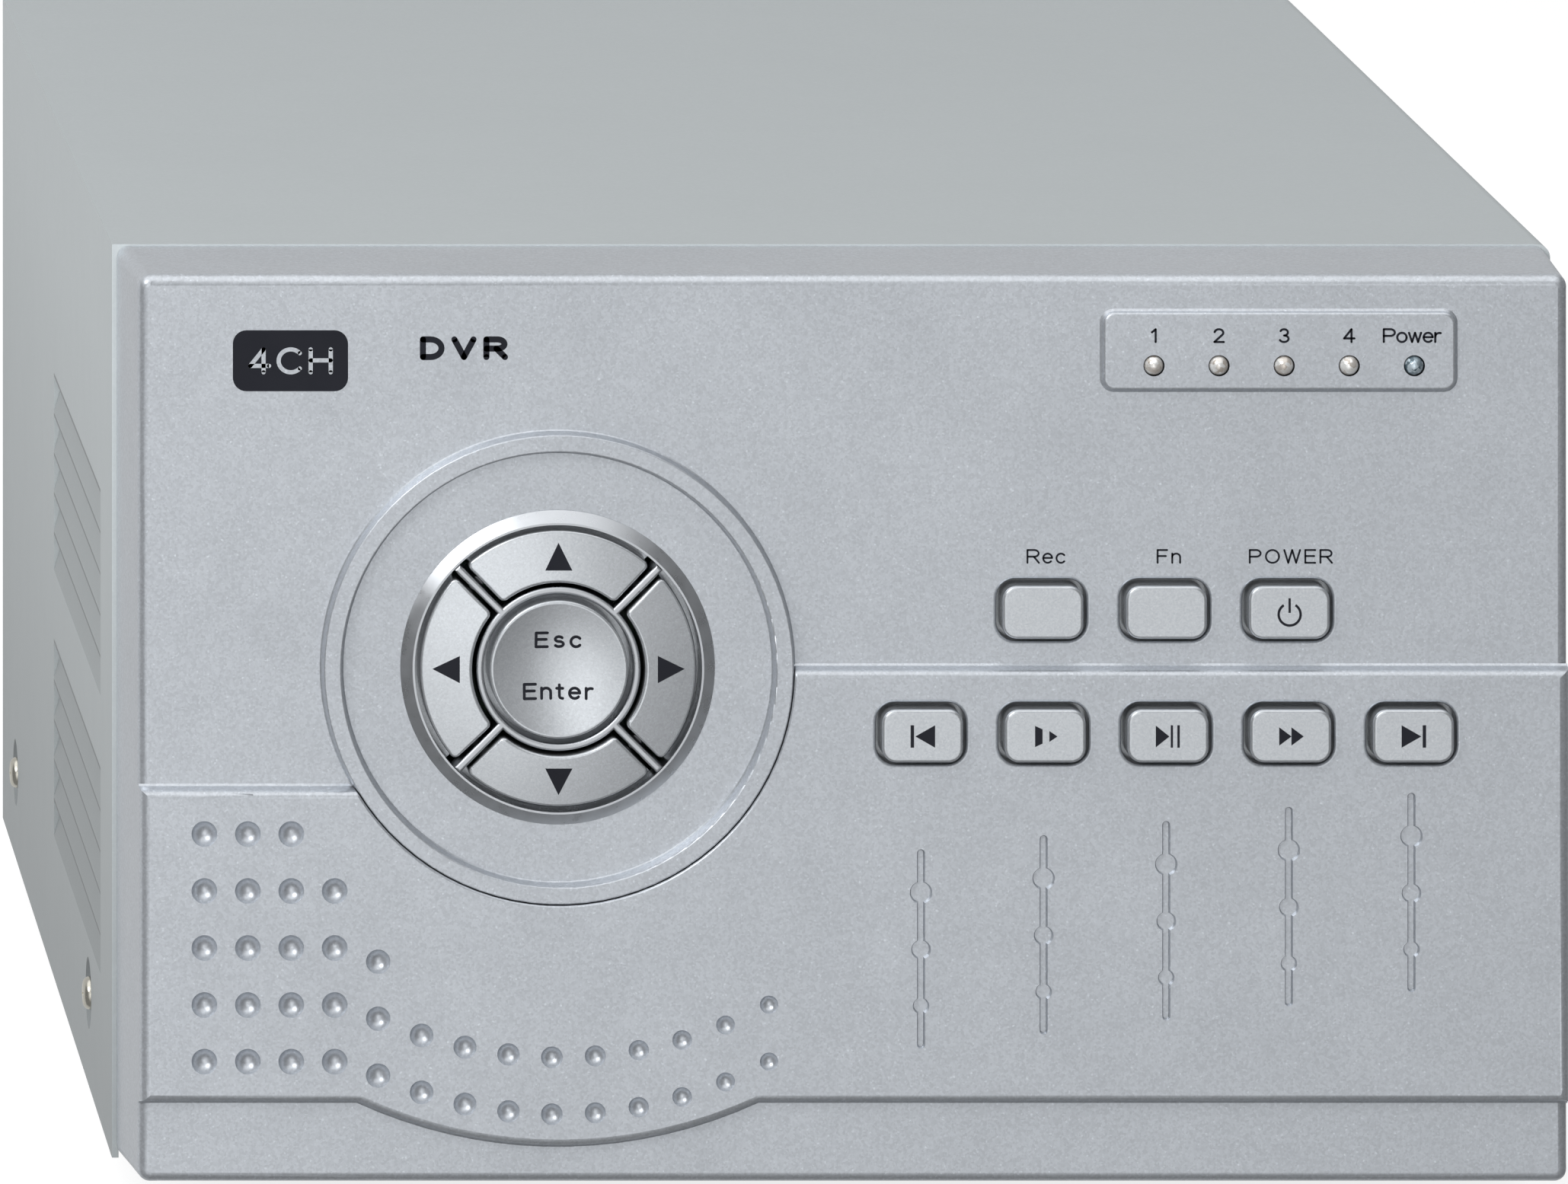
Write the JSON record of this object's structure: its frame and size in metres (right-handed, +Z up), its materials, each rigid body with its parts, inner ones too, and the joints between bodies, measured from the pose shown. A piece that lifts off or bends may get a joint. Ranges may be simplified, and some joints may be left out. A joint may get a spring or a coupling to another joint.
{
  "type": "dvr recorder",
  "caption": "Compact security video recorder with a navigation pad, function keys and lamps on a silver front, a louvred cover, and rear video, audio, network and power jacks.",
  "frame": {"origin": "centre of the overall footprint, keys and rear connectors included, at the plane the feet stand on", "axes": "+X right as seen from the front, the front faces -Y, +Z up"},
  "size_m": [0.2166, 0.2674, 0.1444],
  "materials": {
    "bezel_silver": "metallic silver lacquer",
    "trim_satin": "satin metallised",
    "key_silver": "satin silver",
    "cover_paint": "matt light grey",
    "zinc_sheet": "zinc plated",
    "screw_nickel": "nickel plated",
    "rubber_black": "moulded",
    "lamp_clear": "clear",
    "lamp_dark": "clear, unlit",
    "board_green": "solder mask",
    "plastic_black": "moulded",
    "plastic_white": "moulded",
    "nickel": "nickel plated",
    "gold_pin": "gold flash",
    "alloy_cast": "cast and machined",
    "alloy_black": "anodised black",
    "disk_mirror": "polished",
    "cable_grey": "flat cable"
  },
  "bodies": {
    "case": {"front_bezel": "bezel_silver", "navigation_ring": "trim_satin", "navigation_divider": "trim_satin", "channel_leds": "lamp_clear", "power_led": "lamp_dark", "led_holder": "plastic_black", "key_board": "board_green", "switch_bodies": "plastic_black", "top_cover": "cover_paint", "base_chassis": "zinc_sheet", "rear_panel": "zinc_sheet", "rubber_feet": "rubber_black", "case_screws": "screw_nickel", "inner_screws": "screw_nickel", "main_board": "board_green", "board_standoffs": "gold_pin", "board_chips": "plastic_black", "heatsink": "alloy_black", "bnc_bodies": "plastic_white", "bnc_shells": "nickel", "bnc_pins": "gold_pin", "audio_block": "plastic_black", "audio_shells": "nickel", "network_jack": "nickel", "power_inlet": "plastic_black", "fan_housing": "plastic_black", "drive_bracket": "zinc_sheet", "drive_case": "alloy_cast", "drive_lid": "zinc_sheet", "drive_cable": "cable_grey", "front_cable": "cable_grey"},
    "enter_button": {"enter_key": "key_silver", "enter_plunger": "plastic_white"},
    "rec_button": {"rec_key": "key_silver", "rec_plunger": "plastic_white"},
    "fn_button": {"fn_key": "key_silver", "fn_plunger": "plastic_white"},
    "power_button": {"power_key": "key_silver", "power_plunger": "plastic_white"},
    "previous_button": {"previous_key": "key_silver", "previous_plunger": "plastic_white"},
    "slow_button": {"slow_key": "key_silver", "slow_plunger": "plastic_white"},
    "play_pause_button": {"play_pause_key": "key_silver", "play_pause_plunger": "plastic_white"},
    "fast_forward_button": {"fast_forward_key": "key_silver", "fast_forward_plunger": "plastic_white"},
    "next_button": {"next_key": "key_silver", "next_plunger": "plastic_white"},
    "up_button": {"up_key": "key_silver", "up_plunger": "plastic_white"},
    "left_button": {"left_key": "key_silver", "left_plunger": "plastic_white"},
    "down_button": {"down_key": "key_silver", "down_plunger": "plastic_white"},
    "right_button": {"right_key": "key_silver", "right_plunger": "plastic_white"},
    "rotor": {"fan_rotor": "plastic_black"},
    "disk_stack": {"drive_platters": "disk_mirror"},
    "head_arm": {"drive_arm": "alloy_cast"}
  },
  "joints": [
    {"name": "enter_push", "type": "slide", "parent": "case", "child": "enter_button", "axis": [0, 1, 0], "range_m": [0, 0.0006], "stiffness_N_per_m": 400},
    {"name": "rec_push", "type": "slide", "parent": "case", "child": "rec_button", "axis": [0, 1, 0], "range_m": [0, 0.0006], "stiffness_N_per_m": 400},
    {"name": "fn_push", "type": "slide", "parent": "case", "child": "fn_button", "axis": [0, 1, 0], "range_m": [0, 0.0006], "stiffness_N_per_m": 400},
    {"name": "power_push", "type": "slide", "parent": "case", "child": "power_button", "axis": [0, 1, 0], "range_m": [0, 0.0006], "stiffness_N_per_m": 400},
    {"name": "previous_push", "type": "slide", "parent": "case", "child": "previous_button", "axis": [0, 1, 0], "range_m": [0, 0.0006], "stiffness_N_per_m": 400},
    {"name": "slow_push", "type": "slide", "parent": "case", "child": "slow_button", "axis": [0, 1, 0], "range_m": [0, 0.0006], "stiffness_N_per_m": 400},
    {"name": "play_pause_push", "type": "slide", "parent": "case", "child": "play_pause_button", "axis": [0, 1, 0], "range_m": [0, 0.0006], "stiffness_N_per_m": 400},
    {"name": "fast_forward_push", "type": "slide", "parent": "case", "child": "fast_forward_button", "axis": [0, 1, 0], "range_m": [0, 0.0006], "stiffness_N_per_m": 400},
    {"name": "next_push", "type": "slide", "parent": "case", "child": "next_button", "axis": [0, 1, 0], "range_m": [0, 0.0006], "stiffness_N_per_m": 400},
    {"name": "up_push", "type": "slide", "parent": "case", "child": "up_button", "axis": [0, 1, 0], "range_m": [0, 0.0006], "stiffness_N_per_m": 400},
    {"name": "left_push", "type": "slide", "parent": "case", "child": "left_button", "axis": [0, 1, 0], "range_m": [0, 0.0006], "stiffness_N_per_m": 400},
    {"name": "down_push", "type": "slide", "parent": "case", "child": "down_button", "axis": [0, 1, 0], "range_m": [0, 0.0006], "stiffness_N_per_m": 400},
    {"name": "right_push", "type": "slide", "parent": "case", "child": "right_button", "axis": [0, 1, 0], "range_m": [0, 0.0006], "stiffness_N_per_m": 400},
    {"name": "fan_spin", "type": "hinge", "parent": "case", "child": "rotor", "pos_m": [-0.058, 0.11115, 0.098], "axis": [0, 1, 0], "continuous": true},
    {"name": "disk_spin", "type": "hinge", "parent": "case", "child": "disk_stack", "pos_m": [0, -0.028, 0.074], "axis": [0, 0, 1], "continuous": true},
    {"name": "head_swing", "type": "hinge", "parent": "case", "child": "head_arm", "pos_m": [0.028, 0.033, 0.076], "axis": [0, 0, 1], "range_deg": [-15, 25]}
  ]
}
